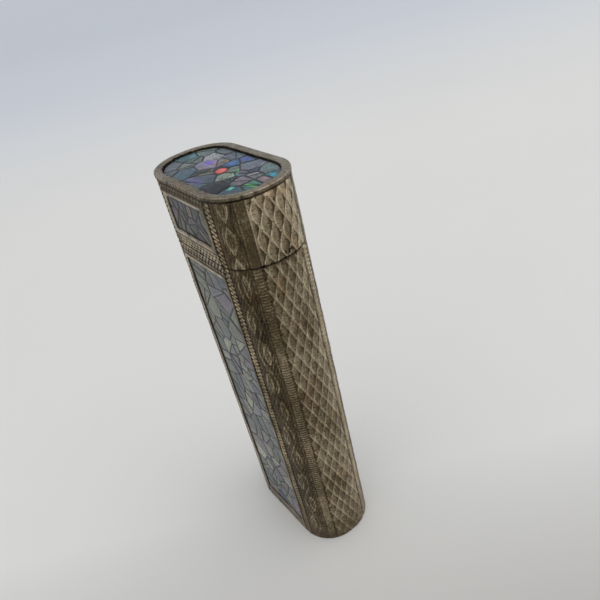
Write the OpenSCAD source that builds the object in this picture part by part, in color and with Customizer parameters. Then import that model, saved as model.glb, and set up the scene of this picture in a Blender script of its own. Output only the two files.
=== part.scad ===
// Oval pull-cap lipstick case with shell mosaic panels.
// The case stands on its base. A knurled ring under the cap turns the guide tube, and two lugs on
// the cup then climb the helical slots of the fixed spiral tube, so that the stick rises.
// X is the long side of the oval, Y the short side, Z the height. The origin is the centre of the base.

/* [Case] */
// Width of the case wall, side to side
case_width = 29.8; // [28:0.1:34]
// Depth of the case wall, front to back
case_depth = 16; // [15.8:0.1:18]
// Radius of the four corners of the oval
corner_radius = 7.455; // [6:0.005:7.8]
// Thickness of the case and cap walls
wall = 0.9; // [0.8:0.05:1]
// Height of the parting line between case and cap
parting_height = 72.96; // [71:0.01:74.5]
// Gap between the case edge and the cap edge
parting_gap = 0.06; // [0:0.01:0.2]
// Thickness of the plate that closes the bottom
base_thickness = 1; // [0.6:0.1:2]

/* [Cap and rim] */
// Height of the cap wall above the base, under the rim frame
cap_wall_top = 85; // [84.5:0.1:86]
// Thickness of the rim frame on top of the cap
rim_thickness = 0.7; // [0.4:0.1:1]
// How far the rim frame stands proud of the wall
rim_overhang = 0.1; // [0:0.05:0.3]
// Width of the flat rim around the top mosaic
rim_width = 1.62; // [1.2:0.02:2]
// How far the top mosaic lies below the rim
top_recess = 0.35; // [0.1:0.05:0.6]
// Thickness of the tray under the top mosaic
tray_thickness = 0.5; // [0.3:0.1:0.6]

/* [Mosaic panels] */
// Half width of each panel over its bezel
panel_half_width = 7.6; // [7:0.1:7.8]
// Depth of the pocket that holds a panel
pocket_depth = 0.5; // [0.3:0.05:0.6]
// How far a bezel stands proud of the wall
bezel_proud = 0.1; // [0:0.05:0.2]
// How far a mosaic lies below the wall surface
mosaic_recess = 0.05; // [0:0.05:0.2]
// Bottom and top of the tall panel on the case
case_panel_z = [3.0, 70.75];
// Bezel widths of the tall panel: side, bottom, top
case_bezel = [0.75, 0.75, 0.8];
// Bottom and top of the small panel on the cap
cap_panel_z = [75.1, 83.3];
// Bezel widths of the small panel: side, bottom, top
cap_bezel = [1.2, 1.2, 0.7];

/* [Stick and mechanism] */
// Diameter of the lipstick
stick_diameter = 11; // [10.6:0.1:11.1]
// Height of the tip above the base when the stick is down
stick_tip_height = 67.6; // [65:0.1:67.7]
// How far the stick rises
stick_travel = 16; // [8:0.5:16]
// Rise of the stick for one turn of the ring
helix_pitch = 12; // [10:0.5:14]
// Angle of the cut at the tip of the stick
tip_angle = 42; // [20:1:50]
// Running clearance on each side of a moving tube
running_gap = 0.05; // [0.03:0.01:0.08]
// Gap between parts that are glued together
glue_gap = 0.03; // [0.02:0.01:0.05]
// Number of notches around the turning ring
knurl_count = 40; // [20:2:48]

/* [Hidden] */
$fn = 96;
cut_margin = 1;

// Plan sizes of the case and everything that fits inside its wall
inner_width = case_width - 2 * wall;
inner_depth = case_depth - 2 * wall;
inner_radius = corner_radius - wall;

// Radii of the nested tubes, from the stick outwards
cup_clearance = 0.05;
thin_wall = 0.35;
spiral_wall = 0.45;
stick_r = stick_diameter / 2;
cup_inner_r = stick_r + cup_clearance;
cup_outer_r = cup_inner_r + thin_wall;
guide_inner_r = cup_outer_r + running_gap;
guide_outer_r = guide_inner_r + thin_wall;
spiral_inner_r = guide_outer_r + running_gap;
spiral_outer_r = spiral_inner_r + spiral_wall;
ring_outer_r = 6.8;

// Heights of the mechanism, from the cradle up to the ring
cradle_bottom = 40;
cradle_top = 44;
collar_bottom = 68;
collar_top = 75;
ring_bottom = collar_top + running_gap;
ring_top = 77.5;
ring_lip = 0.3;
ring_bond_gap = 0.02;
cup_bottom = 46;
cup_floor = 0.8;
cup_top = 58;
lug_r = 0.65;
lug_height = 48.2;
lug_fit_gap = 0.02;
slot_width = 2;
slot_clearance = 1;
slot_bottom = lug_height - slot_clearance;
slot_top = lug_height + stick_travel + slot_clearance;
retainer_gap = 0.1;
retainer_thickness = 0.7;
retainer_outer_step = 0.3;
retainer_inner_step = 0.45;
guide_bottom = cradle_bottom - retainer_gap;

// Oval outline: a rectangle whose corners are arcs, centred on the origin
module oval(width, depth, radius) {
    square([width, depth - 2 * radius], center = true);
    square([width - 2 * radius, depth], center = true);
    for (x = [-1, 1], y = [-1, 1])
        translate([x * (width / 2 - radius), y * (depth / 2 - radius)])
            circle(r = radius);
}

// Solid oval between two heights
module oval_block(width, depth, radius, bottom, top) {
    translate([0, 0, bottom])
        linear_extrude(top - bottom)
            oval(width, depth, radius);
}

// Solid that fills the inside of the wall between two heights, less a gap all round
module wall_filler(bottom, top, gap) {
    oval_block(inner_width - 2 * gap, inner_depth - 2 * gap, inner_radius - gap, bottom, top);
}

// Open oval tube of the wall's thickness
module oval_wall(bottom, top) {
    difference() {
        oval_block(case_width, case_depth, corner_radius, bottom, top);
        wall_filler(bottom - cut_margin, top + cut_margin, 0);
    }
}

// Round tube between two heights
module tube(outer_r, inner_r, bottom, top) {
    difference() {
        translate([0, 0, bottom])
            cylinder(r = outer_r, h = top - bottom);
        translate([0, 0, bottom - cut_margin])
            cylinder(r = inner_r, h = top - bottom + 2 * cut_margin);
    }
}

// Flat slab on a face: side is -1 for the front and 1 for the back,
// and low and high are depths measured outwards from the wall surface
module face_slab(side, half_width, z, low, high) {
    near = case_depth / 2 + low;
    translate([-half_width, side > 0 ? near : -near - (high - low), z[0]])
        cube([2 * half_width, high - low, z[1] - z[0]]);
}

// Pocket cut into the wall for a panel
module panel_pocket(side, z) {
    face_slab(side, panel_half_width, z, -pocket_depth, cut_margin);
}

// Height range left inside a bezel
function inside_bezel(z, widths) = [z[0] + widths[1], z[1] - widths[2]];

// Metal frame around a mosaic
module bezel(side, z, widths) {
    difference() {
        face_slab(side, panel_half_width, z, -pocket_depth, bezel_proud);
        face_slab(side, panel_half_width - widths[0], inside_bezel(z, widths),
            -pocket_depth - cut_margin, cut_margin);
    }
}

// Shell mosaic plate inside a bezel
module mosaic(side, z, widths) {
    face_slab(side, panel_half_width - widths[0], inside_bezel(z, widths), -pocket_depth, -mosaic_recess);
}

// Lower wall, engraved sheet metal, with a pocket in the front and the back
module case_shell() {
    color("#8f8873")
        difference() {
            oval_wall(0, parting_height - parting_gap / 2);
            panel_pocket(-1, case_panel_z);
            panel_pocket(1, case_panel_z);
        }
}

// Plate let into the bottom, flush with the wall's lower edge
module base_plate() {
    color("#857e6a")
        wall_filler(0, base_thickness, glue_gap);
}

module front_inlay() {
    color("#7f8a96")
        mosaic(-1, case_panel_z, case_bezel);
}

module back_inlay() {
    color("#7f8a96")
        mosaic(1, case_panel_z, case_bezel);
}

module front_bezel() {
    color("#a9a28c")
        bezel(-1, case_panel_z, case_bezel);
}

module back_bezel() {
    color("#a9a28c")
        bezel(1, case_panel_z, case_bezel);
}

// Oval spigot in the mouth of the case: the cap slides over it, the guide tube turns in its bore
module cap_collar() {
    color("#b5ab8c")
        difference() {
            wall_filler(collar_bottom, collar_top, running_gap);
            translate([0, 0, collar_bottom - cut_margin])
                cylinder(r = spiral_inner_r, h = collar_top - collar_bottom + 2 * cut_margin);
        }
}

// Fixed outer tube with two right-hand helical slots
module spiral_tube() {
    slot_angle = slot_clearance / helix_pitch * 360;
    slot_inner = 3;
    slot_outer = 8;
    start_angle = -slot_angle;
    turn = (slot_top - slot_bottom) / helix_pitch * 360;
    corner = [cos(slot_angle), sin(slot_angle)];
    color("#b99a55")
        difference() {
            tube(spiral_outer_r, spiral_inner_r, cradle_top, collar_bottom);
            for (start = [0, 180])
                translate([0, 0, slot_bottom])
                    rotate(start + start_angle)
                        linear_extrude(slot_top - slot_bottom, twist = -turn, slices = 72, segments = 4)
                            polygon([
                                [slot_inner * corner[0], -slot_inner * corner[1]],
                                [slot_outer * corner[0], -slot_outer * corner[1]],
                                [slot_outer * corner[0], slot_outer * corner[1]],
                                [slot_inner * corner[0], slot_inner * corner[1]]
                            ]);
        }
}

// Folded bracket: a plate under the spiral tube, on two legs that stand on the base plate
module mechanism_cradle() {
    leg_outer = 13;
    leg_thickness = 1;
    leg_half_width = 3.5;
    color("#9c927a") {
        difference() {
            wall_filler(cradle_bottom, cradle_top, glue_gap);
            translate([0, 0, cradle_bottom - cut_margin])
                cylinder(r = spiral_inner_r, h = cradle_top - cradle_bottom + 2 * cut_margin);
        }
        for (x = [-leg_outer, leg_outer - leg_thickness])
            translate([x, -leg_half_width, base_thickness])
                cube([leg_thickness, 2 * leg_half_width, cradle_bottom - base_thickness]);
    }
}

// Knurled ring that the fingers turn, with a lip over the end of the guide tube
module turning_ring() {
    notch = 0.36;
    color("#c2a763")
        difference() {
            translate([0, 0, ring_bottom])
                cylinder(r = ring_outer_r, h = ring_top - ring_bottom);
            translate([0, 0, ring_bottom - cut_margin])
                cylinder(r = guide_outer_r + ring_bond_gap,
                    h = ring_top - ring_lip - ring_bottom + cut_margin);
            translate([0, 0, ring_bottom])
                cylinder(r = guide_inner_r, h = ring_top - ring_bottom + cut_margin);
            for (i = [0 : knurl_count - 1])
                rotate(i * 360 / knurl_count)
                    translate([ring_outer_r, 0, ring_bottom - cut_margin])
                        rotate(45)
                            translate([-notch / 2, -notch / 2, 0])
                                cube([notch, notch, ring_top - ring_bottom + 2 * cut_margin]);
        }
}

// Turning inner tube with two straight slots that carry the lugs round
module guide_tube() {
    color("#c9b067")
        difference() {
            tube(guide_outer_r, guide_inner_r, guide_bottom, ring_top - ring_lip);
            translate([-guide_outer_r - cut_margin, -slot_width / 2, slot_bottom])
                cube([2 * (guide_outer_r + cut_margin), slot_width, slot_top - slot_bottom]);
        }
}

// Washer staked to the lower end of the guide tube, under the cradle plate
module retaining_ring() {
    color("#8c8c8c")
        tube(spiral_inner_r + retainer_outer_step, guide_inner_r - retainer_inner_step,
            guide_bottom - retainer_thickness, guide_bottom);
}

// Two holes or two pins on the lug axis, between two radii
module lug_pair(radius, inner, outer) {
    for (side = [0, 180])
        rotate(side)
            translate([inner, 0, lug_height])
                rotate([0, 90, 0])
                    cylinder(r = radius, h = outer - inner);
}

// Cup that holds the foot of the stick
module stick_cup() {
    color("#d0b56a")
        difference() {
            translate([0, 0, cup_bottom])
                cylinder(r = cup_outer_r, h = cup_top - cup_bottom);
            translate([0, 0, cup_bottom + cup_floor])
                cylinder(r = cup_inner_r, h = cup_top - cup_bottom);
            lug_pair(lug_r + lug_fit_gap, cup_inner_r - cut_margin, cup_outer_r + cut_margin);
        }
}

// Two pins that reach through the straight slots into the helical slots
module drive_lugs() {
    color("#b0a080")
        lug_pair(lug_r, cup_inner_r + glue_gap, spiral_outer_r - running_gap);
}

// Stick with a slanted tip, standing on the cup floor
module lipstick() {
    stick_foot = cup_bottom + cup_floor;
    cutter = 40;
    cut_start = -stick_r * 0.6;
    color("#9c2733")
        difference() {
            translate([0, 0, stick_foot])
                cylinder(r = stick_r, h = stick_tip_height - stick_foot);
            translate([cut_start, 0, stick_tip_height])
                rotate([0, tip_angle, 0])
                    translate([0, -cutter / 2, 0])
                        cube([cutter, cutter, cutter]);
        }
}

// Upper wall, engraved to match the case, with its own two pockets
module cap_shell() {
    color("#8f8873")
        difference() {
            oval_wall(parting_height + parting_gap / 2, cap_wall_top);
            panel_pocket(-1, cap_panel_z);
            panel_pocket(1, cap_panel_z);
        }
}

// Polished rim frame around the top mosaic
module top_frame() {
    width = case_width + 2 * rim_overhang;
    depth = case_depth + 2 * rim_overhang;
    radius = corner_radius + rim_overhang;
    rim_top = cap_wall_top + rim_thickness;
    color("#b3ad98")
        difference() {
            oval_block(width, depth, radius, cap_wall_top, rim_top);
            oval_block(width - 2 * rim_width, depth - 2 * rim_width, radius - rim_width,
                cap_wall_top - cut_margin, rim_top + cut_margin);
        }
}

// Top mosaic: a flange held under the rim frame and a field that shows in its opening
module top_inlay() {
    field_gap = 0.08;
    shrink = 2 * (rim_width - rim_overhang + field_gap);
    color("#76838f") {
        wall_filler(cap_wall_top - tray_thickness, cap_wall_top, glue_gap);
        oval_block(case_width - shrink, case_depth - shrink, corner_radius - shrink / 2,
            cap_wall_top, cap_wall_top + rim_thickness - top_recess);
    }
}

// Ceiling of the cap, the tray that backs the top mosaic
module top_tray() {
    color("#9c927a")
        wall_filler(cap_wall_top - 2 * tray_thickness, cap_wall_top - tray_thickness, glue_gap);
}

module cap_front_inlay() {
    color("#7f8a96")
        mosaic(-1, cap_panel_z, cap_bezel);
}

module cap_back_inlay() {
    color("#7f8a96")
        mosaic(1, cap_panel_z, cap_bezel);
}

module cap_front_bezel() {
    color("#a9a28c")
        bezel(-1, cap_panel_z, cap_bezel);
}

module cap_back_bezel() {
    color("#a9a28c")
        bezel(1, cap_panel_z, cap_bezel);
}

case_shell();
base_plate();
front_inlay();
back_inlay();
front_bezel();
back_bezel();
cap_collar();
spiral_tube();
mechanism_cradle();
turning_ring();
guide_tube();
retaining_ring();
stick_cup();
drive_lugs();
lipstick();
cap_shell();
top_frame();
top_inlay();
top_tray();
cap_front_inlay();
cap_back_inlay();
cap_front_bezel();
cap_back_bezel();
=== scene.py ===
import math
import random

import bmesh
import bpy
import numpy as np
from mathutils import Matrix, Vector


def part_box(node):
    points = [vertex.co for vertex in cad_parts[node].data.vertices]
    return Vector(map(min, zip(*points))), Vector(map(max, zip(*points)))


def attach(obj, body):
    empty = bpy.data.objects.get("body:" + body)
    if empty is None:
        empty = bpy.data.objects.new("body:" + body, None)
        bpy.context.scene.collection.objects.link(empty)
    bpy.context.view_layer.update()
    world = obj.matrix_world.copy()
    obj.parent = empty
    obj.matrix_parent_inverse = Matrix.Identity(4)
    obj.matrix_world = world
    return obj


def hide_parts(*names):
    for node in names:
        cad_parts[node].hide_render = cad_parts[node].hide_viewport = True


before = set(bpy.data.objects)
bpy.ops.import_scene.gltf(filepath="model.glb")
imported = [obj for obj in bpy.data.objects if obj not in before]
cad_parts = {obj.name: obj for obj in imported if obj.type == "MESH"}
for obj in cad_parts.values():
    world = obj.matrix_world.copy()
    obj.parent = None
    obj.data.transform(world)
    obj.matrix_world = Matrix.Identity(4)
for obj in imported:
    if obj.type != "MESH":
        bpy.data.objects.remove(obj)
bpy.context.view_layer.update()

# Every length below is in millimetres in the CAD frame, and becomes metres when a mesh is made.
MM = 0.001

# ----------------------------------------
# Sizes, from the CAD frame
# ----------------------------------------


def node_box(node):
    """Lowest and highest corner of a CAD node in millimetres."""
    low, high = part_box(node)
    return np.array(low) / MM, np.array(high) / MM


CASE_LOW, CASE_HIGH = node_box("case_shell")
CAP_LOW, CAP_HIGH = node_box("cap_shell")
RIM_LOW, RIM_HIGH = node_box("top_frame")
CASE_WIDTH = CASE_HIGH[0] - CASE_LOW[0]
CASE_DEPTH = CASE_HIGH[1] - CASE_LOW[1]
# Radius of the wall's corners, its thickness, and how deep the panels are let into it
CORNER_RADIUS = 7.455
WALL = 0.9
POCKET_DEPTH = 0.5
PANEL_HALF_WIDTH = node_box("front_bezel")[1][0]
CASE_PANEL_Z = (node_box("front_bezel")[0][2], node_box("front_bezel")[1][2])
CAP_PANEL_Z = (node_box("cap_front_bezel")[0][2], node_box("cap_front_bezel")[1][2])
PARTING_Z = (CASE_HIGH[2] + CAP_LOW[2]) / 2
# How wide the rim plate is round its opening, and its corner radius
RIM_BORDER = 1.62
RIM_RADIUS = 7.555
# Half lengths of the wall's straight stretches, and the arc length of a quarter of the wall
FLAT_X = CASE_WIDTH / 2 - CORNER_RADIUS
FLAT_Y = CASE_DEPTH / 2 - CORNER_RADIUS
CORNER_ARC = CORNER_RADIUS * math.pi / 2
QUARTER = FLAT_X + CORNER_ARC + FLAT_Y


def smoothstep(low, high, value):
    """0 below low, 1 above high, smooth between."""
    t = np.clip((value - low) / (high - low), 0, 1)
    return t * t * (3 - 2 * t)


def between(a, b, share):
    """The place at this share of the way from a to b."""
    return a[0] + (b[0] - a[0]) * share, a[1] + (b[1] - a[1]) * share


def soft_line(offset, half_width):
    """1 in the middle of a line, falling smoothly to 0 on both sides."""
    return np.exp(-(offset / half_width) ** 2)


def soft_noise(x, y, z, seed, scale):
    """Smooth noise from -1 to 1 on arrays of places, made of a few crossing waves."""
    rng = np.random.default_rng(seed)
    total = np.zeros_like(x)
    for octave in range(6):
        direction = rng.normal(size=3)
        direction *= (1 + 0.35 * octave) / (np.linalg.norm(direction) * scale)
        total += np.sin(x * direction[0] + y * direction[1] + z * direction[2] + rng.uniform(0, 6.28))
    return total / 4


def flat_noise(across, up, seed, scale):
    """Smooth noise from -1 to 1 on two coordinates."""
    return soft_noise(across, up, up * 0, seed, scale)


def screen(red, green, blue):
    """Linear colour from 0 to 255 screen values."""
    return np.array([((v / 255 + 0.055) / 1.055) ** 2.4 for v in (red, green, blue)])


# ----------------------------------------
# Mesh helpers
# ----------------------------------------


def make_object(name, points, faces, material, sharp_degrees=40, fix_normals=False):
    """A mesh object from points in millimetres."""
    mesh = bpy.data.meshes.new(name)
    places = (np.asarray(points, float) * MM).tolist()
    mesh.from_pydata(places, [], [[int(i) for i in face] for face in faces])
    mesh.update()
    if fix_normals:
        work = bmesh.new()
        work.from_mesh(mesh)
        bmesh.ops.recalc_face_normals(work, faces=work.faces)
        work.to_mesh(mesh)
        work.free()
    mesh.polygons.foreach_set("use_smooth", np.ones(len(mesh.polygons), bool))
    mesh.set_sharp_from_angle(angle=math.radians(sharp_degrees))
    mesh.materials.append(material)
    piece = bpy.data.objects.new(name, mesh)
    bpy.context.scene.collection.objects.link(piece)
    return piece


def add_attribute(piece, name, kind, field, values):
    """Stores a number, colour or vector for each vertex."""
    attribute = piece.data.attributes.new(name, kind, "POINT")
    attribute.data.foreach_set(field, np.asarray(values, np.float32).ravel())


def add_value(piece, name, values):
    """Stores one number for each vertex."""
    add_attribute(piece, name, "FLOAT", "value", values)


def band_faces(first, second, count):
    """Quads between two closed rings of count points that start at these indices."""
    following = [(i + 1) % count for i in range(count)]
    return [(first + i, first + j, second + j, second + i) for i, j in enumerate(following)]


def loft(name, rings, material, closed=False, cap_first=False, cap_last=False, sharp_degrees=40):
    """A surface through closed rings of equal length. closed joins the last ring to the first."""
    count = len(rings[0])
    points = np.concatenate(rings)
    faces = []
    for k in range(len(rings) - 1):
        faces += band_faces(k * count, (k + 1) * count, count)
    if closed:
        faces += band_faces((len(rings) - 1) * count, 0, count)
    if cap_first:
        faces.append(tuple(reversed(range(count))))
    if cap_last:
        faces.append(tuple(range((len(rings) - 1) * count, len(rings) * count)))
    return make_object(name, points, faces, material, sharp_degrees, fix_normals=True)


def stand_for(piece, body, slot, *nodes):
    """The piece rides on a body and hides the CAD nodes it stands for. slot is not used."""
    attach(piece, body)
    if nodes:
        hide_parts(*nodes)
    return piece


def quarter_outline(t, width, depth, radius):
    """Places and outward normals at arc lengths t on a quarter of an oval, from the front's middle on."""
    flat_x, flat_y = width / 2 - radius, depth / 2 - radius
    angle = np.clip((t - flat_x) / radius, 0, math.pi / 2)
    x = np.where(t < flat_x, t, flat_x + radius * np.sin(angle))
    past = np.clip(t - flat_x - radius * math.pi / 2, 0, None)
    y = -flat_y - radius * np.cos(angle) + past
    return x, y, np.sin(angle), -np.cos(angle)


def oval_ring(width, depth, radius, z, count=480):
    """A closed ring of points round an oval at height z, counter-clockwise from the front's middle."""
    flat_x, flat_y = width / 2 - radius, depth / 2 - radius
    quarter = flat_x + radius * math.pi / 2 + flat_y
    t = np.arange(count) / count * 4 * quarter
    folded = np.where(t > 2 * quarter, 4 * quarter - t, t)
    side = np.where(t > 2 * quarter, -1, 1)
    back = folded > quarter
    folded = np.where(back, 2 * quarter - folded, folded)
    x, y, _, _ = quarter_outline(folded, width, depth, radius)
    return np.stack([x * side, np.where(back, -y, y), np.full(count, float(z))], 1)


def round_ring(radius, z, count=480):
    """A closed circle of points that starts where oval_ring does and runs the same way."""
    angle = np.arange(count) / count * 2 * math.pi - math.pi / 2
    return np.stack([radius * np.cos(angle), radius * np.sin(angle), np.full(count, float(z))], 1)


# ----------------------------------------
# Materials
# ----------------------------------------


class Nodes:
    """A short way to build one node material."""

    def __init__(self, name):
        self.material = bpy.data.materials.new(name)
        self.material.use_nodes = True
        self.tree = self.material.node_tree
        self.tree.nodes.clear()
        output = self.add("OutputMaterial")
        self.shader = self.add("BsdfPrincipled")
        self.tree.links.new(self.shader.outputs["BSDF"], output.inputs["Surface"])
        self.place = self.add("TexCoord").outputs["Object"]

    def put(self, socket, value):
        """Links a socket to another, or sets it to a number, vector or colour."""
        if isinstance(value, bpy.types.NodeSocket):
            self.tree.links.new(value, socket)
        elif isinstance(value, tuple) and socket.type == "RGBA":
            socket.default_value = (*value, 1)
        else:
            socket.default_value = value

    def add(self, kind, inputs=None, **settings):
        """A new node: settings are its own options, inputs what its sockets are given."""
        node = self.tree.nodes.new("ShaderNode" + kind)
        for name, value in settings.items():
            setattr(node, name, value)
        for name, value in (inputs or {}).items():
            self.put(node.inputs[name], value)
        return node

    def set(self, **values):
        """Sets the shader's own sockets."""
        for name, value in values.items():
            self.shader.inputs[name.replace("_", " ")].default_value = value

    def attribute(self, name, output="Fac"):
        return self.add("Attribute", attribute_name=name).outputs[output]

    def noise(self, per_metre, detail=4.0, roughness=0.6, stretch=None, distortion=0.0, place=None):
        source = place or self.place
        if stretch:
            source = self.add("Mapping", {"Vector": source, "Scale": stretch}).outputs["Vector"]
        inputs = {"Vector": source, "Scale": per_metre, "Detail": detail}
        inputs |= {"Roughness": roughness, "Distortion": distortion}
        return self.add("TexNoise", inputs).outputs["Fac"]

    def math(self, operation, first, second, clamp=False):
        node = self.add("Math", {0: first, 1: second}, operation=operation, use_clamp=clamp)
        return node.outputs["Value"]

    def remap(self, value, low, high, to_low=0.0, to_high=1.0):
        inputs = {"Value": value, "From Min": low, "From Max": high, "To Min": to_low, "To Max": to_high}
        return self.add("MapRange", inputs).outputs["Result"]

    def ramp(self, value, *stops):
        node = self.add("ValToRGB", {"Fac": value})
        elements = node.color_ramp.elements
        while len(elements) < len(stops):
            elements.new(0.5)
        for element, (position, colour) in zip(elements, stops):
            element.position = position
            element.color = (*colour, 1)
        return node.outputs["Color"]

    def mix(self, factor, first, second, blend="MIX"):
        inputs = {"Factor": factor, "A": first, "B": second}
        return self.add("Mix", inputs, data_type="RGBA", blend_type=blend).outputs["Result"]

    def nearness(self, centre, half_size, degrees):
        """1 at a place on the plan in millimetres, falling to 0 at the edge of an oval round it."""
        inputs = {
            "Vector": self.place,
            "Location": (centre[0] * MM, centre[1] * MM, 0),
            "Rotation": (0, 0, math.radians(degrees)),
            "Scale": (half_size[0] * MM, half_size[1] * MM, 1),
        }
        mapping = self.add("Mapping", inputs, vector_type="TEXTURE")
        flat = self.add("VectorMath", {0: mapping.outputs["Vector"], 1: (1, 1, 0)}, operation="MULTIPLY")
        length = self.add("VectorMath", {0: flat.outputs["Vector"]}, operation="LENGTH")
        return self.remap(length.outputs["Value"], 0.25, 1.0, 1.0, 0.0)

    def bump(self, height, strength, distance_mm, normal=None):
        inputs = {"Height": height, "Strength": strength, "Distance": distance_mm * MM}
        if normal is not None:
            inputs["Normal"] = normal
        return self.add("Bump", inputs).outputs["Normal"]

    def finish(self, colour, roughness, normal):
        """Connects the shader. A number for roughness is set on its own socket."""
        self.put(self.shader.inputs["Base Color"], colour)
        self.put(self.shader.inputs["Roughness"], roughness)
        self.put(self.shader.inputs["Normal"], normal)
        return self.material


def aged_silver(name, dark, middle, bright, roughness, shade_name=None, brown=0.5, scratch=0.3, grit=0.2):
    """Tarnished silver plate: bright where it is worn, brown and dark where it isn't.
    shade_name is the vertex value that says how bright the engraving leaves each place, brown is how
    strong the stains are, scratch how deep the marks, and grit how much the fine grain shows."""
    m = Nodes(name)
    blotch = m.noise(260, detail=6, roughness=0.66)
    grain = m.noise(2400, detail=4, roughness=0.75)
    speck = m.noise(2600, detail=3, roughness=0.8)
    shade = m.attribute(shade_name) if shade_name else m.remap(blotch, 0.0, 1.0, 0.55, 0.85)
    shade = m.math("ADD", shade, m.remap(blotch, 0.3, 0.7, -0.10, 0.10))
    shade = m.math("ADD", shade, m.remap(grain, 0.3, 0.7, -grit, grit))
    shade = m.math("MULTIPLY", shade, m.remap(speck, 0.56, 0.66, 1.0, 1.0 - 3 * grit), clamp=True)
    colour = m.ramp(shade, (0.0, dark), (0.42, middle), (0.95, bright))
    stain = m.remap(m.noise(150, detail=4, roughness=0.6, distortion=0.6), 0.5, 0.72, 0.0, brown)
    colour = m.mix(stain, colour, m.mix(1.0, colour, (0.72, 0.5, 0.33), "MULTIPLY"))
    fine = m.noise(900, detail=2, stretch=(1, 1, 0.05))
    wear = m.math("ADD", m.math("MULTIPLY", shade, -0.5), fine)
    rough = m.remap(wear, -0.2, 0.7, roughness - 0.10, roughness + 0.14)
    normal = m.bump(grain, 0.5 * scratch, 0.06)
    normal = m.bump(fine, 0.3 * scratch, 0.04, normal)
    m.set(Metallic=0.85, Specular_IOR_Level=0.5)
    return m.finish(colour, rough, normal)


SILVER = aged_silver(
    "engraved_silver", (0.008, 0.005, 0.003), (0.114, 0.085, 0.045), (0.72, 0.61, 0.42), 0.38, "shade",
    brown=0.6, scratch=0.8, grit=0.145
)
BEZEL = aged_silver(
    "bezel_silver", (0.012, 0.009, 0.005), (0.17, 0.14, 0.09), (0.56, 0.51, 0.40), 0.36, "shade",
    brown=0.6, grit=0.20
)
RIM = aged_silver(
    "rim_silver", (0.012, 0.008, 0.004), (0.19, 0.155, 0.10), (0.47, 0.43, 0.34), 0.38, "shade",
    brown=0.7, grit=0.19
)
INNER_SILVER = aged_silver(
    "inner_silver", (0.2, 0.19, 0.15), (0.45, 0.43, 0.36), (0.66, 0.64, 0.56), 0.32, brown=0.12
)
GILT = aged_silver(
    "gilt_brass", (0.30, 0.19, 0.06), (0.62, 0.43, 0.16), (0.82, 0.62, 0.28), 0.28, brown=0.15
)
STEEL = aged_silver(
    "plain_steel", (0.2, 0.2, 0.2), (0.4, 0.4, 0.4), (0.6, 0.6, 0.6), 0.35, brown=0.05
)
BASE_SILVER = aged_silver(
    "base_silver", (0.06, 0.05, 0.03), (0.22, 0.18, 0.12), (0.5, 0.45, 0.34), 0.45, brown=0.4, scratch=0.8
)


def shell_material(name, contrast, flashes=()):
    """Polished shell: each chip's own colour, streaked its own way.
    flashes are spots of painted sheen (across, back, half length, half width, degrees, colour, strength)."""
    m = Nodes(name)
    own = m.attribute("chip_colour", "Color")
    place = m.attribute("chip_place", "Vector")
    cloud = m.noise(0.55, detail=3, roughness=0.55, distortion=0.8, stretch=(1, 0.35, 1), place=place)
    streak = m.noise(2.6, detail=4, roughness=0.65, distortion=0.6, stretch=(1, 0.22, 1), place=place)
    tint = m.ramp(
        cloud, (0.32, (0.36, 0.52, 0.50)), (0.44, (0.48, 0.52, 0.48)), (0.54, (0.52, 0.48, 0.54)),
        (0.66, (0.60, 0.55, 0.52))
    )
    colour = m.mix(0.7, own, m.mix(1.0, own, tint, "OVERLAY"))
    light = m.ramp(
        streak, (0.30, (0.36, 0.36, 0.37)), (0.5, (0.92, 0.92, 0.91)), (0.70, (1.75, 1.71, 1.60))
    )
    colour = m.mix(contrast, colour, m.mix(1.0, colour, light, "MULTIPLY"))
    # Painted sheen: bright flashes of colour at the listed spots.
    for across, back, half_length, half_width, degrees, flash, strength in flashes:
        near = m.nearness((across, back), (half_length, half_width), degrees)
        glow = m.math("MULTIPLY", near, m.remap(streak, 0.35, 0.62, 0.45 * strength, strength))
        colour = m.mix(glow, colour, tuple(screen(*flash)))
    normal = m.bump(streak, 0.12, 0.04)
    rough = m.remap(cloud, 0.3, 0.7, 0.24, 0.38)
    m.set(Metallic=0.0, Specular_IOR_Level=0.22, Coat_Weight=0.05, Coat_Roughness=0.15)
    return m.finish(colour, rough, normal)


def resin_material():
    """Dark resin between the chips."""
    m = Nodes("dark_resin")
    speck = m.noise(1800, detail=4, roughness=0.7)
    colour = m.ramp(speck, (0.3, (0.004, 0.005, 0.006)), (0.7, (0.020, 0.024, 0.028)))
    normal = m.bump(speck, 0.4, 0.08)
    m.set(Specular_IOR_Level=0.5)
    return m.finish(colour, m.remap(speck, 0.3, 0.7, 0.35, 0.6), normal)


def lipstick_material():
    """Waxy red stick."""
    m = Nodes("lipstick_red")
    cloud = m.noise(160, detail=3)
    grain = m.noise(3000, detail=2)
    colour = m.ramp(cloud, (0.3, (0.30, 0.012, 0.022)), (0.7, (0.42, 0.022, 0.035)))
    normal = m.bump(grain, 0.1, 0.03)
    m.set(Subsurface_Weight=0.15, Subsurface_Scale=0.001, Specular_IOR_Level=0.5)
    return m.finish(colour, m.remap(cloud, 0.3, 0.7, 0.3, 0.42), normal)


# Direction on the table, and the distances in metres along it where its colour changes, painted shade in
# front of the object and a bluer tint far behind it: each is from, to, and the strength at both
FLOOR_FORWARD = (0.87, -0.49)
NEAR_SHADE_STARTS = (0.0, 0.06, 0.0, 1.0)
NEAR_SHADE_ENDS = (0.10, 0.45, 1.0, 0.0)
NEAR_SHADE = (0.58, 0.56, 0.55)
FAR_TINT_RANGE = (-0.25, -0.6, 0.0, 1.0)
FAR_TINT = (0.66, 0.69, 0.735)


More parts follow.
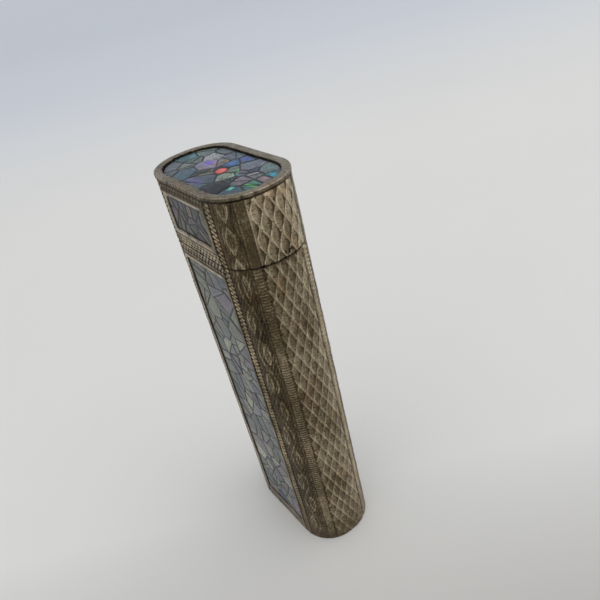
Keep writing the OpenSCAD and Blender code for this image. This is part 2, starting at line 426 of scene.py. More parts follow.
def floor_material():
    """Pale matt table top, with painted shade in front of the object, and bluer far behind it."""
    m = Nodes("pale_floor")
    cloud = m.noise(5, detail=3)
    fibre = m.noise(60, detail=5, roughness=0.7)
    colour = m.ramp(cloud, (0.2, (0.745, 0.735, 0.705)), (0.8, (0.785, 0.775, 0.745)))
    split = m.add("SeparateXYZ", {"Vector": m.place}).outputs
    forward = m.math(
        "SUBTRACT", m.math("MULTIPLY", split["X"], FLOOR_FORWARD[0]),
        m.math("MULTIPLY", split["Y"], -FLOOR_FORWARD[1])
    )
    near = m.math("MULTIPLY", m.remap(forward, *NEAR_SHADE_STARTS), m.remap(forward, *NEAR_SHADE_ENDS))
    # Painted shade on the table in front of the object.
    colour = m.mix(near, colour, m.mix(1.0, colour, NEAR_SHADE, "MULTIPLY"))
    colour = m.mix(m.remap(forward, *FAR_TINT_RANGE), colour, FAR_TINT)
    normal = m.bump(fibre, 0.12, 0.6)
    m.set(Specular_IOR_Level=0.25)
    return m.finish(colour, 0.75, normal)


# Spots of painted iridescent sheen in the lid's chips: place across and back, half length, half width,
# degrees, the flash's screen colour, and its strength
TOP_FLASHES = [
    (-4.9, 0.7, 1.5, 1.1, 10, (92, 70, 214), 0.9),
    (-2.0, 0.9, 0.9, 0.3, -50, (200, 84, 110), 0.7),
    (11.6, -0.9, 1.6, 0.34, 14, (112, 236, 70), 1.0),
    (11.2, 0.2, 1.5, 0.4, 5, (66, 160, 116), 0.6),
    (9.2, -3.2, 0.7, 1.1, 20, (96, 222, 200), 0.95),
    (11.3, 3.5, 1.2, 0.7, -10, (48, 178, 206), 0.9),
    (0.4, 4.9, 1.9, 1.1, 15, (74, 92, 186), 0.7),
    (-0.2, 2.8, 1.0, 1.0, 0, (66, 122, 214), 0.8),
    (11.4, 1.9, 1.1, 0.5, 0, (196, 122, 146), 0.6),
    (-2.0, 2.7, 0.6, 0.5, 30, (196, 142, 92), 0.7),
    (4.1, 1.3, 1.5, 0.28, -38, (104, 176, 118), 0.8),
    (5.0, 0.2, 0.3, 1.0, 20, (90, 200, 172), 0.7),
    (3.6, 2.2, 0.9, 0.3, -30, (190, 110, 90), 0.5),
    (-11.3, 1.2, 0.8, 1.4, 0, (84, 160, 176), 0.6),
    (1.0, 0.1, 0.8, 0.6, 0, (255, 150, 146), 0.6),
    (-8.6, 1.4, 0.5, 1.4, 10, (120, 170, 140), 0.5),
    (0.4, -4.9, 2.6, 0.8, 8, (112, 96, 168), 0.7),
]


SIDE_SHELL = shell_material("side_shell", 0.85)
TOP_SHELL = shell_material("top_shell", 0.9, TOP_FLASHES)
RESIN = resin_material()
LIPSTICK = lipstick_material()

# ----------------------------------------
# Engraving: each function gives how deep the cut is, in millimetres, and how bright the metal is,
# at a place on the wall. t is the arc length from the middle of the face, z the height.
# ----------------------------------------

# Where each strip of a quarter of the wall starts and ends
ROPE = (7.76, 9.34)
FOLIAGE = (9.45, 13.40)
RIBS = (13.68, 15.30)
LATTICE_START = 15.60
# The diamonds of the cap and of the case: a place where lines cross, the size of a cell, how much of
# it the leaf fills, how bright the ground is, how much painted shade falls across each leaf, the lines'
# half width, and how bright the two sets of lines and the leaf's edge are
CAP_LATTICE = dict(
    node=(-0.6, 79.85), cell_width=2.3, cell_height=4.8, leaf_share=0.66, ground=0.57, painted_leaf_shade=0.24,
    line=0.10, first_light=0.22, second_light=0.0, leaf_light=0.92
)
CASE_LATTICE = dict(
    node=(-0.6, 69.25), cell_width=1.95, cell_height=4.9, leaf_share=0.70, ground=0.49, painted_leaf_shade=0.22,
    line=0.09, first_light=0.86, second_light=0.36, leaf_light=0.52
)
# The beaded band over the parting line, and the one under the rim: lowest row and number of rows
LOWER_BEADS = (71.58, 5)
UPPER_BEADS = (83.85, 2)
# Number of round pits scattered over each wall
PIT_COUNT = 90
# Brightness that polishing leaves at the foot of the case, and the heights between which it fades out
FOOT_SHADE = 0.44
FOOT_WEAR = (3.0, 10.0)


def rope(t, z, middle):
    """Twisted cord: leaf-shaped beads that slant, each crossed by a fine cut, with dark gaps between."""
    pitch, half_width = 0.84, 0.72
    across = (t - middle) / half_width
    turn = z / pitch + 0.40 * across + 0.07 * np.sin(z * 1.7)
    share = turn - np.floor(turn) - 0.5
    number = np.floor(turn)
    uneven = 0.5 + 0.5 * np.sin(number * 12.9898)
    sideways = np.abs(across + 0.25 * (uneven - 0.5))
    bead = smoothstep(0, 0.36, 0.86 - np.abs(share) * 2 - 0.40 * sideways ** 2)
    cut = soft_line(across - 1.2 * share - 0.3 * (uneven - 0.5), 0.20)
    edge = smoothstep(0, 0.22, 1.10 - np.abs(across))
    height = bead * edge * (1 - 0.55 * cut)
    return 0.24 * (1 - height), 0.10 + (0.58 + 0.20 * uneven) * height


def lattice(
    u, z, node, cell_width, cell_height, leaf_share, ground, painted_leaf_shade, line, first_light, second_light,
    leaf_light
):
    """Long diamond cells between raised lines, with a leaf in each: it bulges to the left in a bright
    edge, and falls off into painted shade on the right. u is the arc length from the middle of the end."""
    drift = 0.03 * flat_noise(u, z, 61, 2.5)
    across = (u - node[0]) / cell_width + drift
    along = (z - node[1]) / cell_height + 0.5 * drift
    first, second = across + along, across - along
    spacing = 1 / math.hypot(1 / cell_width, 1 / cell_height)
    side_first = (first - np.round(first)) * spacing
    side_second = (second - np.round(second)) * spacing
    in_first = first - np.floor(first) - 0.5
    in_second = second - np.floor(second) - 0.5
    cell_u = (in_first + in_second) / 2 * cell_width
    cell_z = (in_first - in_second) / 2
    bulge = leaf_share / 2 * cell_width * np.cos(math.pi * np.clip(cell_z, -0.5, 0.5))
    worn = flat_noise(u, z, 62, 0.8)
    ridge = soft_line(side_first, line) * np.clip(first_light + 0.30 * worn, 0.05, 1.1)
    ridge_second = soft_line(side_second, line) * np.clip(second_light - 0.3 * worn, 0.0, 0.9)
    edge = soft_line(cell_u + bulge, 1.15 * line) * np.clip(leaf_light + 0.25 * worn, 0.0, 1.1)
    ridge = np.clip(np.maximum(np.maximum(ridge, ridge_second), edge), 0, 1)
    slope = np.clip((cell_u + bulge) / (2 * bulge + 0.1), 0, 1.4)
    dark = smoothstep(0.62, 1.05, slope) * np.cos(math.pi * np.clip(cell_z + 0.06, -0.5, 0.5)) ** 0.5
    pillow = np.clip(1 - (cell_u / (bulge + 0.05)) ** 2, 0, 1)
    depth = 0.15 * (1 - ridge) - 0.05 * pillow + 0.03 * dark
    # Painted shade: each leaf grows darker down its slope and along its right side, as if lit from the
    # left.
    shade = ground - painted_leaf_shade * (0.47 * (slope - 0.5) + dark * (1 - ridge))
    return depth, shade + (0.96 - shade) * ridge


def hatched_ground(t, z):
    """Fine steep cuts that leave the ground dark."""
    sway = flat_noise(t, z, 63, 1.1)
    cuts = 0.5 + 0.5 * np.sin(2 * math.pi * (t / 0.50 + z / 2.1) + 1.6 * sway)
    cross = 0.5 + 0.5 * np.sin(2 * math.pi * (t / 0.66 - z / 1.5) - 1.3 * sway)
    return 0.15 + 0.05 * cuts - 0.04 * cross, 0.15 + 0.42 * cuts * cross + 0.06 * sway


def leaf(t, z, middle_t, middle_z, half_width, half_height):
    """Outline, vein and inside of a pointed leaf: each is 1 on its own lines."""
    along = (z - middle_z) / half_height
    edge = half_width * np.cos(np.clip(along, -1, 1) * math.pi / 2)
    offset = np.abs(t - middle_t)
    inside = (np.abs(along) < 1) & (offset < edge)
    outline = np.where(np.abs(along) < 1.05, soft_line(offset - edge, 0.13), 0)
    vein = np.where(np.abs(along) < 0.8, soft_line(offset, 0.09), 0)
    return outline, vein, inside


def foliage_case(t, z):
    """A winding stem with a leaf in each bend and loose tendrils, on hatched ground."""
    depth, shade = hatched_ground(t, z)
    middle = (FOLIAGE[0] + FOLIAGE[1]) / 2
    start, bend, bends = 2.0, 7.1, 10
    phase = math.pi * (z - start) / bend
    stem = 0.75 * soft_line(t - middle - 1.0 * np.sin(phase), 0.14)
    tendril = 0.5 * soft_line(t - middle + 1.35 * np.sin(phase + 0.6), 0.10)
    curl = 0.45 * soft_line(t - middle - 0.5 * np.sin(2.1 * phase + 1.0) + 0.3, 0.09)
    light = np.maximum(np.maximum(stem, tendril), curl)
    for k in range(bends):
        centre_z = start + bend * (k + 0.5)
        centre_t = middle - 0.62 * (1 if k % 2 == 0 else -1)
        outline, vein, inside = leaf(t, z, centre_t, centre_z, 0.60, 2.5)
        depth = np.where(inside, 0.10, depth)
        shade = np.where(inside, shade + 0.10, shade)
        light = np.maximum(light, np.maximum(0.95 * outline, 0.5 * vein))
    light = light * np.clip(0.72 + 0.5 * flat_noise(t, z, 64, 0.8), 0.15, 1)
    return depth * (1 - light), shade + (0.84 - shade) * light


def foliage_cap(t, z):
    """Upright ovals between curved strokes, on plain ground."""
    middle, half_stroke = 11.75, 2.6
    hatch = 0.5 + 0.5 * np.sin(2 * math.pi * (t / 0.5 - z / 1.9))
    depth = 0.06 + 0.02 * hatch
    shade = 0.43 - 0.15 * hatch + 0.08 * flat_noise(t, z, 65, 0.9)
    light = np.zeros_like(t)
    for centre_z in (72.6, 78.3, 84.0):
        outline, vein, inside = leaf(t, z, middle, centre_z, 0.88, 2.4)
        second, _, _ = leaf(t, z, middle, centre_z, 0.56, 1.9)
        light = np.maximum(light, np.maximum(outline, np.maximum(0.55 * second, 0.4 * vein)))
        depth = np.where(inside, 0.03, depth)
        for side in (-1, 1):
            arc_t = middle + side * (1.55 - 0.55 * ((z - centre_z) / half_stroke) ** 2)
            stroke = np.where(np.abs(z - centre_z) < half_stroke, soft_line(t - arc_t, 0.12), 0)
            lit_side = np.where(np.abs(z - centre_z) < 2.5, soft_line(t - arc_t - 0.2, 0.11), 0)
            light = np.maximum(light, 0.55 * lit_side)
            depth = depth + 0.07 * stroke
            shade = shade - 0.20 * stroke
    light = light * np.clip(0.8 + 0.4 * flat_noise(t, z, 66, 0.8), 0.3, 1)
    return depth * (1 - light), shade + (0.84 - shade) * light


def bead_rows(t, z, low, row_count, pitch=1.08, row_height=0.68):
    """Rows of small slanting pits, each row half a step along. The lowest are rounder and larger."""
    depth = np.zeros_like(t)
    shade = 0.70 + 0.10 * flat_noise(t, z, 69, 0.5)
    for row in range(row_count):
        shift = t / pitch + 0.5 * (row % 2)
        across = (shift - np.round(shift)) * pitch
        upward = z - low - row * row_height
        if row == 0:
            pit = np.exp(-(across / 0.33) ** 2 - (upward / 0.28) ** 2)
        else:
            long_way = across * 0.9 + upward * 0.45
            short_way = across * 0.45 - upward * 0.9
            pit = (1 - 0.10 * row) * np.exp(-(long_way / 0.29) ** 2 - (short_way / 0.20) ** 2)
        depth = depth + 0.22 * pit
        shade = shade - 1.35 * pit
    return depth, np.clip(shade, 0.0, 1)


def nicks(t, z, seed, at_z, count, spread):
    """Small dents and chips along a line round the wall."""
    rng = np.random.default_rng(seed)
    total = np.zeros_like(t)
    for _ in range(count):
        middle_t = rng.uniform(0, 4 * QUARTER)
        middle_z = at_z + rng.normal() * spread
        wide, tall = rng.uniform(0.08, 0.35), rng.uniform(0.06, 0.22)
        depth = rng.uniform(0.05, 0.2)
        total += depth * np.exp(-((t - middle_t) / wide) ** 2 - ((z - middle_z) / tall) ** 2)
    return total


def ribbed_band(t, z):
    """Fine ribs, each a shallow chevron."""
    pitch, point_t = 0.60, 14.5
    ribs = 0.5 + 0.5 * np.sin(2 * math.pi * (z - 0.18 * np.abs(t - point_t)) / pitch)
    fade = 0.6 + 0.5 * flat_noise(t, z, 67, 2.5)
    strength = 0.26 + 0.22 * smoothstep(62.0, 40.0, z)
    return 0.04 + 0.06 * ribs, 0.44 + 0.35 * strength - strength * ribs**2 * np.clip(fade, 0.15, 1)


def engrave(t, z, s, on_cap):
    """Cut depth and brightness everywhere on a wall. s is the arc length all the way round."""
    depth = np.full_like(t, 0.04)
    shade = np.full_like(t, 0.50)

    def place(mask, values):
        nonlocal depth, shade
        depth = np.where(mask, values[0], depth)
        shade = np.where(mask, values[1], shade)

    in_rope = (t > ROPE[0]) & (t < ROPE[1])
    cord = rope(t, z, (ROPE[0] + ROPE[1]) / 2)
    place(in_rope, cord)
    in_foliage = (t > FOLIAGE[0]) & (t < FOLIAGE[1])
    on_back = (s > QUARTER) & (s < 3 * QUARTER)
    face = t < ROPE[0]
    from_end = np.where(s < 2 * QUARTER, s - QUARTER, s - 3 * QUARTER)
    if on_cap:
        place(in_rope, (cord[0] * 0.85, 0.42 + (cord[1] - 0.40) * 0.78))
        place(in_foliage, foliage_cap(t, z))
        plain = (np.full_like(t, 0.05), np.full_like(t, 0.38))
        place((t > FOLIAGE[1]) & (t < LATTICE_START), plain)
        in_lattice = (t > LATTICE_START) | (on_back & (t > FOLIAGE[1] + 0.4))
        place(in_lattice, lattice(from_end, z, **CAP_LATTICE))
        place(face & (z < CAP_PANEL_Z[0] - 0.3), bead_rows(t, z, *LOWER_BEADS))
        worn_beads = bead_rows(t, z, *UPPER_BEADS)
        place(face & (z > CAP_PANEL_Z[1] + 0.2), (worn_beads[0], 0.36 + 0.35 * (worn_beads[1] - 0.5)))
    else:
        place(in_foliage, foliage_case(t, z))
        in_ribs = (t > RIBS[0]) & (t < RIBS[1])
        place(in_ribs, ribbed_band(t, z))
        cord = rope(t, z, (RIBS[0] + RIBS[1]) / 2)
        place(in_ribs & on_back, (cord[0] * 0.8, 0.40 + 0.42 * cord[1]))
        place(t > LATTICE_START, lattice(from_end, z, **CASE_LATTICE))
        place(face & (z > CASE_PANEL_Z[1] + 0.3), bead_rows(t, z, *LOWER_BEADS))
        worn = 1 - smoothstep(*FOOT_WEAR, z)
        depth = depth * (1 - 0.55 * worn)
        shade = shade + (FOOT_SHADE - shade) * 0.55 * worn

    wander = 0.03 * np.sin(z * 2.3) + 0.02 * np.sin(z * 5.1)
    broken = np.clip(0.8 + 0.45 * soft_noise(t * 0, z, s, 68, 0.7), 0.25, 1.1)
    grooves = [
        (7.70, 0.09, 0.2), (9.38, 0.08, 0.22), (FOLIAGE[1] + 0.24, 0.13, 0.22),
        (LATTICE_START - 0.08, 0.17, 0.26)
    ]
    for centre, half_width, cut in grooves:
        mark = soft_line(t + wander * (centre > 10) - centre, half_width) * broken
        if not on_cap and centre > FOLIAGE[1]:
            mark = mark * (0.65 + 0.35 * np.sin(2 * math.pi * z / 0.88))
        if on_cap and centre > FOLIAGE[1]:
            mark = mark * (0.5 if centre < LATTICE_START - 1 else 0.3 * ~on_back)
        depth = depth + cut * mark
        shade = shade * (1 - np.clip(1.1 * mark, 0, 1))
    if on_cap:
        for centre, light in ((FOLIAGE[1] + 0.50, 0.14), (LATTICE_START + 0.02, 0.24)):
            shade = shade + light * soft_line(t - centre, 0.10) * ~on_back
    panel_z = CAP_PANEL_Z if on_cap else CASE_PANEL_Z
    for centre in (panel_z[0] - 0.13, panel_z[1] + 0.13):
        mark = soft_line(z - centre, 0.10) * (t < 8.1)
        depth = depth + 0.16 * mark
        shade = shade * (1 - 0.85 * mark)

    rng = np.random.default_rng(11 if on_cap else 12)
    for _ in range(PIT_COUNT):
        pit_s, pit_z = rng.uniform(0, 4 * QUARTER), rng.uniform(2, 85)
        size, stretch = rng.uniform(0.08, 0.20), rng.uniform(1.0, 2.6)
        pit = np.exp(-((s - pit_s) ** 2 + ((z - pit_z) / stretch) ** 2) / size**2)
        depth = depth + 0.12 * pit
        shade = shade * (1 - 0.85 * pit)
    return depth, shade


# A curved scratch above the parting line and a painted glint below the rim: arc length and height
HOOK = (21.2, 73.7)
GLINT = (19.3, 84.5)
# Arc lengths between which painted light makes the wall a little lighter, and between which that dies away
PAINTED_LIGHT_SPAN = ((QUARTER + 1, QUARTER + 5), (QUARTER + 12, QUARTER + 8))
# Deepest cut, and the brightness of the wall's inside
DEEPEST_CUT = 0.36
INSIDE_SHADE = 0.35
# Stretches of a quarter of the wall: where each ends, and how far apart its grid lines are
GRID_STRETCHES = [
    (PANEL_HALF_WIDTH, 0.14), (7.80, 0.10), (9.42, 0.125), (13.45, 0.21), (15.65, 0.22),
    (QUARTER, 0.136)
]
# Stretches where the engraving needs grid lines twice as close in height
CLOSE_ROWS = [(-1, PANEL_HALF_WIDTH + 0.01), (7.65, 9.46), (13.5, 15.5)]
# Height between two grid lines elsewhere
ROW_STEP = 0.36
# How much closer the cap's grid lines are
CAP_GRID = 0.68


def wall_columns(on_cap):
    """Arc lengths of the grid lines of one quarter of the wall."""
    lines, start = [np.zeros(1)], 0
    for end, step in GRID_STRETCHES:
        step = step * CAP_GRID if on_cap else step
        lines.append(np.linspace(start, end, max(1, round((end - start) / step)) + 1)[1:])
        start = end
    return np.concatenate(lines)


def wall_rows(low, high, panel_z):
    """Heights of the grid lines, with one at each end of the panel on an even place."""
    fine = np.array((0.0, 0.04, 0.09, 0.16, 0.26))
    middle = np.linspace(low + fine[-1], high - fine[-1], round((high - low) / ROW_STEP))
    rows = np.concatenate([low + fine, middle[1:-1], high - fine[::-1]])
    for limit in panel_z:
        rows[np.argmin(np.abs(rows - limit))] = limit
    between = (rows[1:] + rows[:-1]) / 2
    return np.insert(rows, np.arange(1, len(rows)), between)


def engraved_wall(name, low, high, panel_z, on_cap, material):
    """An oval tube with an engraved outside, round edges and a pocket in the front and back."""
    t_quarter = wall_columns(on_cap)
    z_lines = wall_rows(low, high, panel_z)
    reverse = t_quarter[::-1]
    t_all = np.concatenate([t_quarter, reverse[1:], t_quarter[1:], reverse[1:-1]])
    columns, rows = len(t_all), len(z_lines)
    order = np.arange(columns)
    side = np.where(order < 2 * len(t_quarter) - 1, 1, -1)
    back = (order >= len(t_quarter)) & (order < 3 * len(t_quarter) - 2)
    s_all = np.where(back, 2 * QUARTER - t_all, t_all)
    s_all = np.where(side < 0, 4 * QUARTER - s_all, s_all) % (4 * QUARTER)
    x, y, normal_x, normal_y = quarter_outline(t_all, CASE_WIDTH, CASE_DEPTH, CORNER_RADIUS)
    x, normal_x = x * side, normal_x * side
    y, normal_y = np.where(back, -y, y), np.where(back, -normal_y, normal_y)

    t_grid, z_grid = np.meshgrid(t_all, z_lines)
    s_grid = np.broadcast_to(s_all, t_grid.shape)
    depth, shade = engrave(t_grid, z_grid, s_grid, on_cap)
    hurt = nicks(s_grid, z_grid, 21, PARTING_Z, 110, 0.13)
    hurt += nicks(s_grid, z_grid, 22, 84.6 if on_cap else 0.5, 40, 0.4)
    x_grid, y_grid = np.broadcast_to(x, t_grid.shape), np.broadcast_to(y, t_grid.shape)
    wear = soft_noise(x_grid, y_grid, z_grid, 31, 3.0)
    shade = shade * (1 - np.clip(hurt * 6, 0, 0.9)) + 0.05 * wear
    edge = np.minimum(z_grid - low, high - z_grid)
    rounding = 0.10 * np.clip(1 - edge / 0.16, 0, 1) ** 2
    if on_cap:
        # Under the rim the wall is cut back into a groove, and painted shade darkens it where the rim
        # overhangs.
        under_rim_groove_and_shade = smoothstep(high - 0.36, high - 0.14, z_grid)
        rounding = np.maximum(rounding, 0.20 * under_rim_groove_and_shade)
        shade = shade * (1 - 0.85 * under_rim_groove_and_shade)
    depth = np.clip(depth + hurt + rounding, 0, DEEPEST_CUT)
    ragged = 0.17 + 0.07 * soft_noise(s_grid, z_grid * 0, s_grid * 0, 32, 0.45)
    ragged = np.where(t_grid < ROPE[0], 0.08, ragged)
    shade = shade * (1 - 0.95 * soft_line(z_grid - PARTING_Z, ragged))
    # Painted light past the middle of the right end, towards the back.
    shade = shade + 0.10 * smoothstep(*PAINTED_LIGHT_SPAN[0], s_grid) * smoothstep(*PAINTED_LIGHT_SPAN[1], s_grid)
    hook_reach = np.hypot(s_grid - HOOK[0], z_grid - HOOK[1])
    hook = soft_line(hook_reach - 0.45, 0.16) * (z_grid > HOOK[1] - 0.1)
    shade = shade * (1 - 0.9 * hook)
    # Painted highlight: a glint of lamp light on the wall just below the rim.
    glint = np.exp(-((s_grid - GLINT[0]) / 0.7) ** 2 - ((z_grid - GLINT[1]) / 0.24) ** 2)
    shade = shade + 0.6 * glint

    close = np.zeros(columns, bool) | on_cap
    for start, end in CLOSE_ROWS:
        close |= (t_all > start) & (t_all < end)
    used = np.ones((rows, columns), bool)
    used[1::2, ~close] = False
    number = np.full((rows, columns), -1)
    number[used] = np.arange(used.sum())
    outer = np.stack([x - normal_x * depth, y - normal_y * depth, z_grid], 2)[used]

    faces = []
    panel_column = t_all <= PANEL_HALF_WIDTH + 1e-6
    panel_row = (z_lines[:-1] >= panel_z[0] - 1e-6) & (z_lines[1:] <= panel_z[1] + 1e-6)
    for c in range(columns):
        d = (c + 1) % columns
        on_panel = panel_column[c] and panel_column[d]
        for r in range(0, rows - 1, 2):
            if on_panel and panel_row[r]:
                continue
            corners = [(r, c), (r, d), (r + 1, d), (r + 2, d), (r + 2, c), (r + 1, c)]
            if close[c] and close[d]:
                quads = (corners[:3] + corners[5:], [corners[5]] + corners[2:5])
                faces += [[number[corner] for corner in quad] for quad in quads]
            else:
                faces.append([number[corner] for corner in corners if number[corner] >= 0])

    inner_x, inner_y = x - normal_x * WALL, y - normal_y * WALL
    inside = [np.stack([inner_x, inner_y, np.full(columns, z)], 1) for z in (high, low)]
    total = len(outer)
    ring_top, ring_bottom = total, total + columns
    points = [outer, *inside]
    total += 2 * columns
    for i in range(columns):
        j = (i + 1) % columns
        faces.append((number[rows - 1, i], number[rows - 1, j], ring_top + j, ring_top + i))
        faces.append((ring_bottom + i, ring_bottom + j, number[0, j], number[0, i]))
    faces += band_faces(ring_top, ring_bottom, columns)

    r_low = int(np.argmin(np.abs(z_lines - panel_z[0])))
    r_high = int(np.argmin(np.abs(z_lines - panel_z[1])))
    for is_back in (False, True):
        across = np.nonzero((back == is_back) & panel_column)[0]
        across = across[np.argsort(x[across])]
        left, right = across[0], across[-1]
        loop = [number[r_low, c] for c in across]
        loop += [number[r, right] for r in range(r_low + 1, r_high) if used[r, right]]
        loop += [number[r_high, c] for c in across[::-1]]
        loop += [number[r, left] for r in range(r_high - 1, r_low, -1) if used[r, left]]
        floor = outer[loop].copy()
        floor[:, 1] = (1 if is_back else -1) * (CASE_DEPTH / 2 - POCKET_DEPTH)
        points.append(floor)
        following = [(i + 1) % len(loop) for i in range(len(loop))]
        pocket = [(loop[i], loop[j], total + j, total + i) for i, j in enumerate(following)]
        pocket.append(tuple(range(total, total + len(loop))))
        faces += [tuple(reversed(face)) if is_back else face for face in pocket]
        total += len(loop)

    piece = make_object(name, np.concatenate(points), faces, material, sharp_degrees=60)
    inside_shade = np.full(total - len(outer), INSIDE_SHADE)
    add_value(piece, "shade", np.concatenate([np.clip(shade[used], 0, 1), inside_shade]))
    return piece


# ----------------------------------------
# Bezels
# ----------------------------------------


def rounded_rectangle(half_width, low, high, radius, side_points=60, corner_points=8):
    """A closed ring of (across, up) places round a rectangle, counter-clockwise from its lower right."""
    corners = [(half_width, low), (half_width, high), (-half_width, high), (-half_width, low)]
    centres = [
        (across - math.copysign(radius, across), up + (radius if up == low else -radius))
        for across, up in corners
    ]

    def on_corner(k, degrees):
        angle = math.radians(degrees)
        return centres[k][0] + radius * math.cos(angle), centres[k][1] + radius * math.sin(angle)

    ring = []
    for k in range(4):
        start = -90 + 90 * k
        ring += [on_corner(k, start + 90 * i / corner_points) for i in range(corner_points + 1)]
        here, end = ring[-1], on_corner((k + 1) % 4, start + 90)
        ring += [between(here, end, i / side_points) for i in range(1, side_points)]
    return np.array(ring)


def face_points(ring, side, outward):
    """Places on a face of the case: outward is measured from the wall surface."""
    y = np.broadcast_to(side * (CASE_DEPTH / 2 + np.asarray(outward, float)), len(ring))
    return np.stack([ring[:, 0], y, ring[:, 1]], 1)


def bezel(name, node, inlay_node, side, inner_radius, seed):
    """A worn metal frame with soft edges, a little uneven as hand work is."""
    low, high = node_box(node)
    inlay_low, inlay_high = node_box(inlay_node)
    proud = 0.10
    # Share of the way inward, height over the wall, and brightness: the sides, where the frame drops into
    # the pocket, are painted dark as shade
    profile = [
        (0.0, -POCKET_DEPTH, 0.1), (0.0, 0.0, 0.25), (0.12, proud - 0.03, 0.5), (0.25, proud - 0.005, 0.70),
        (0.6, proud, 0.66), (0.85, proud - 0.02, 0.46), (0.97, proud - 0.10, 0.14), (1.0, -0.1, 0.03),
        (1.0, -POCKET_DEPTH, 0.03)
    ]
    outer = rounded_rectangle(high[0], low[2], high[2], 0.25)
    inner = rounded_rectangle(inlay_high[0], inlay_low[2], inlay_high[2], inner_radius)
    wobble = flat_noise(outer[:, 0], outer[:, 1], seed, 1.1)
    grime = np.clip(flat_noise(outer[:, 0], outer[:, 1], seed + 7, 2.0), -0.3, 0.6)
    grime = grime + 0.8 * smoothstep(6.6, 7.2, outer[:, 0])
    inward = (inner - outer) / np.linalg.norm(inner - outer, axis=1)[:, None]
    rings, shades = [], []
    for share, outward, light in profile:
        ring = outer + (inner - outer) * share
        if share > 0.5:
            ring = ring + inward * (0.05 * wobble[:, None] - 0.03)
        if 0 < share < 0.5:
            ring = ring + inward * 0.02 * wobble[:, None]
        rings.append(face_points(ring, side, outward - (0.015 * np.abs(wobble) if outward > 0 else 0)))
        shades.append(np.clip(light * (1 - 0.42 * grime) + 0.10 * wobble, 0, 1))
    piece = loft(name, rings, BEZEL, closed=True, sharp_degrees=55)
    add_value(piece, "shade", np.concatenate(shades))
    return piece


# ----------------------------------------
# Mosaics
# ----------------------------------------


# Smallest area in square millimetres that a crack leaves, and that a chip has
SMALLEST_HALF = 1.6
SMALLEST_CHIP = 0.12
# How thick a chip is
CHIP_THICKNESS = 0.16
# A chip's rings, from its foot up: how far in, how far down, and how bright; the foot and the sloping
# edge are painted dark as shade in the gaps. None is halfway in.
CHIP_PROFILE = [
    (0.0, CHIP_THICKNESS, 0.15), (0.0, 0.06, 0.2), (0.04, 0.02, 0.5), (0.13, 0.0, 1.0), (None, 0.0, 1.0)
]


def clip_polygon(polygon, normal, limit):
    """The part of a convex polygon where the point times normal is at most limit."""
    kept = []
    for i, here in enumerate(polygon):
        following = polygon[(i + 1) % len(polygon)]
        d_here = here[0] * normal[0] + here[1] * normal[1] - limit
        d_next = following[0] * normal[0] + following[1] * normal[1] - limit
        if d_here <= 0:
            kept.append(here)
        if d_here * d_next < 0:
            kept.append(between(here, following, d_here / (d_here - d_next)))
    return kept


def mosaic_cells(outline, seeds):
    """Splits an outline between seeds (across, up, weight): a larger weight makes a larger chip."""
    cells = []
    for i, (ax, ay, aw) in enumerate(seeds):
        polygon = list(outline)
        for j, (bx, by, bw) in enumerate(seeds):
            if i != j and polygon:
                limit = bx * bx + by * by - bw - (ax * ax + ay * ay - aw)
                polygon = clip_polygon(polygon, (2 * (bx - ax), 2 * (by - ay)), limit)
        cells.append(polygon)
    return cells


def polygon_area(polygon):
    """Area of a polygon, above 0 if it runs counter-clockwise."""
    return sum(a[0] * b[1] - b[0] * a[1] for a, b in zip(polygon, polygon[1:] + polygon[:1])) / 2


def scattered_seeds(low, high, chip_area, rng):
    """Seeds in uneven rows, each moved about, for chips that fit together like crazy paving."""
    width, height = high[0] - low[0], high[1] - low[1]
    step = math.sqrt(chip_area)
    rows = max(2, round(height / (step * 0.95)))
    seeds = []
    for row in range(rows):
        count = max(2, round(width / step + rng.uniform(-0.9, 0.9)))
        for column in range(count):
            across = low[0] + width * (column + 0.5 + rng.uniform(-0.44, 0.44)) / count
            up = low[1] + height * (row + 0.5 + rng.uniform(-0.52, 0.52)) / rows
            seeds.append((across, up, rng.uniform(-0.16, 0.20) * chip_area))
    return seeds


def cracked(cells, share, rng):
    """Splits some of the cells in two along a straight crack near the middle."""
    result = []
    for cell in cells:
        turn = rng.uniform(0, math.pi)
        normal = (math.cos(turn), math.sin(turn))
        middle = np.mean(cell, 0) + np.array([rng.uniform(-0.3, 0.3), rng.uniform(-0.3, 0.3)])
        limit = float(middle @ np.array(normal))
        halves = [clip_polygon(cell, normal, limit), clip_polygon(cell, (-normal[0], -normal[1]), -limit)]
        small = min(abs(polygon_area(half)) if len(half) > 2 else 0 for half in halves)
        if rng.random() < share and small > SMALLEST_HALF:
            result += halves
        else:
            result.append(cell)
    return result


def chip_outline(polygon, gap, spacing=0.22):
    """A chip's edge: the cell less half the gap, with its corners taken off, in short steps."""
    if polygon_area(polygon) < 0:
        polygon = polygon[::-1]
    shrunk = list(polygon)
    for a, b in zip(polygon, polygon[1:] + polygon[:1]):
        edge = math.hypot(b[0] - a[0], b[1] - a[1])
        if edge > 1e-6:
            normal = ((b[1] - a[1]) / edge, -(b[0] - a[0]) / edge)
            shrunk = clip_polygon(shrunk, normal, a[0] * normal[0] + a[1] * normal[1] - gap / 2)
    if len(shrunk) < 3 or abs(polygon_area(shrunk)) < SMALLEST_CHIP:
        return None
    points = []
    corners = list(zip(shrunk, shrunk[1:] + shrunk[:1]))
    for a, b in corners:
        edge = math.hypot(b[0] - a[0], b[1] - a[1])
        if edge < 0.05:
            continue
        trim = min(0.3, 0.09 / edge)
        steps = max(1, round(edge * (1 - 2 * trim) / spacing))
        shares = [trim + (1 - 2 * trim) * k / steps for k in range(steps + 1)]
        points += [between(a, b, share) for share in shares]
    return np.array(points) if len(points) >= 6 else None


def bent(ring, border_distance, seed, amount):
    """The ring's points moved by a smooth field, so that the cracks curve. It dies away at the border."""
    across, up = ring[:, 0], ring[:, 1]
    hold = smoothstep(0.0, 0.7, border_distance(across, up))
    shift = [
        amount * flat_noise(across, up, seed + k, 1.0)
        + 0.25 * amount * flat_noise(across, up, seed + 10 + k, 0.3)
        for k in range(2)
    ]
    return ring + np.stack(shift, 1) * hold[:, None]


